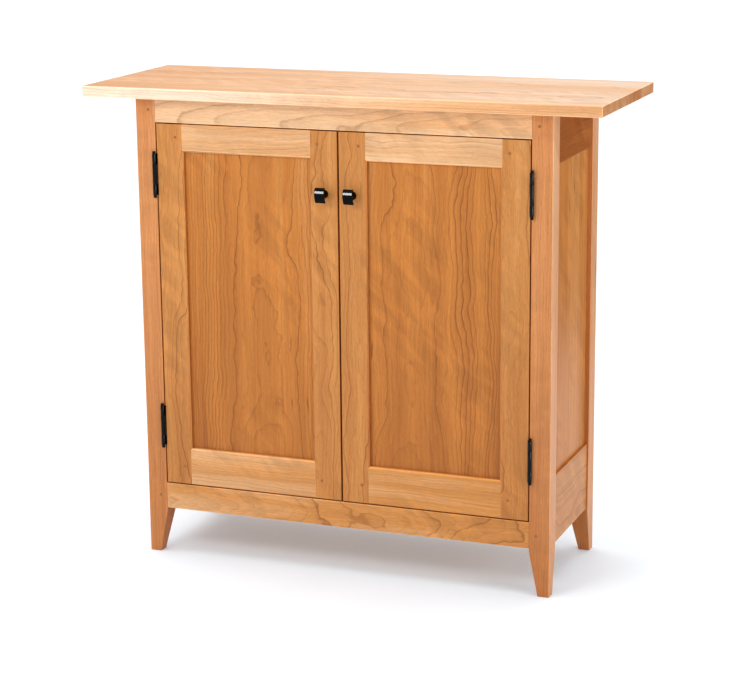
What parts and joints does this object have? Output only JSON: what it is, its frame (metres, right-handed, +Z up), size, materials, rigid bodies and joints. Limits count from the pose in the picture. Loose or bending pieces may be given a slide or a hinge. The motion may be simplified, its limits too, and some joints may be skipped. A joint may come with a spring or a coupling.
{
  "type": "side cabinet",
  "caption": "Side cabinet with an overhanging flat top, legs tapered at the foot, framed panel sides and back, and inset frame and panel doors on butt hinges over adjustable shelves.",
  "frame": {"origin": "on the floor, under the middle of the top", "axes": "+X to the right and along the width, +Y to the back, +Z up; the doors face -Y"},
  "size_m": [0.972, 0.352, 0.884],
  "materials": {
    "cherry_top": "satin",
    "cherry_frame": "satin",
    "cherry_panel": "satin",
    "cherry_inside": "satin",
    "cherry_peg": "satin",
    "black_hinge": "satin",
    "black_knob": "satin",
    "zinc_steel": "satin",
    "magnet": "satin"
  },
  "bodies": {
    "case": {"back_bottom_rail": "cherry_frame", "back_stile": "cherry_frame", "back_top_rail": "cherry_frame", "cabinet_floor": "cherry_inside", "door_stop": "cherry_inside", "front_bottom_rail": "cherry_frame", "front_top_rail": "cherry_frame", "left_back_panel": "cherry_panel", "left_floor_cleat": "cherry_inside", "left_front_leg": "cherry_frame", "left_hinge_pins": "black_hinge", "left_leg_hinge_leaves": "black_hinge", "left_rear_leg": "cherry_frame", "left_side_bottom_rail": "cherry_frame", "left_side_panel": "cherry_panel", "left_side_top_rail": "cherry_frame", "leg_pegs": "cherry_peg", "lower_shelf": "cherry_inside", "right_back_panel": "cherry_panel", "right_floor_cleat": "cherry_inside", "right_front_leg": "cherry_frame", "right_hinge_pins": "black_hinge", "right_leg_hinge_leaves": "black_hinge", "right_rear_leg": "cherry_frame", "right_side_bottom_rail": "cherry_frame", "right_side_panel": "cherry_panel", "right_side_top_rail": "cherry_frame", "shelf_pins": "zinc_steel", "stop_magnets": "magnet", "top": "cherry_top", "top_buttons": "cherry_inside", "upper_shelf": "cherry_inside"},
    "right_door": {"right_door_bottom_rail": "cherry_frame", "right_door_hinge_leaves": "black_hinge", "right_door_hinge_stile": "cherry_frame", "right_door_meeting_stile": "cherry_frame", "right_door_panel": "cherry_panel", "right_door_pegs": "cherry_peg", "right_door_top_rail": "cherry_frame", "right_knob": "black_knob", "right_strike_plate": "zinc_steel"},
    "left_door": {"left_door_bottom_rail": "cherry_frame", "left_door_hinge_leaves": "black_hinge", "left_door_hinge_stile": "cherry_frame", "left_door_meeting_stile": "cherry_frame", "left_door_panel": "cherry_panel", "left_door_pegs": "cherry_peg", "left_door_top_rail": "cherry_frame", "left_knob": "black_knob", "left_strike_plate": "zinc_steel"}
  },
  "joints": [
    {"name": "right_door_hinge", "type": "hinge", "parent": "case", "child": "right_door", "pos_m": [0.3575, -0.1505, 0.5], "axis": [0, 0, 1], "range_deg": [0, 180]},
    {"name": "left_door_hinge", "type": "hinge", "parent": "case", "child": "left_door", "pos_m": [-0.3575, -0.1505, 0.5], "axis": [0, 0, -1], "range_deg": [0, 180]}
  ]
}
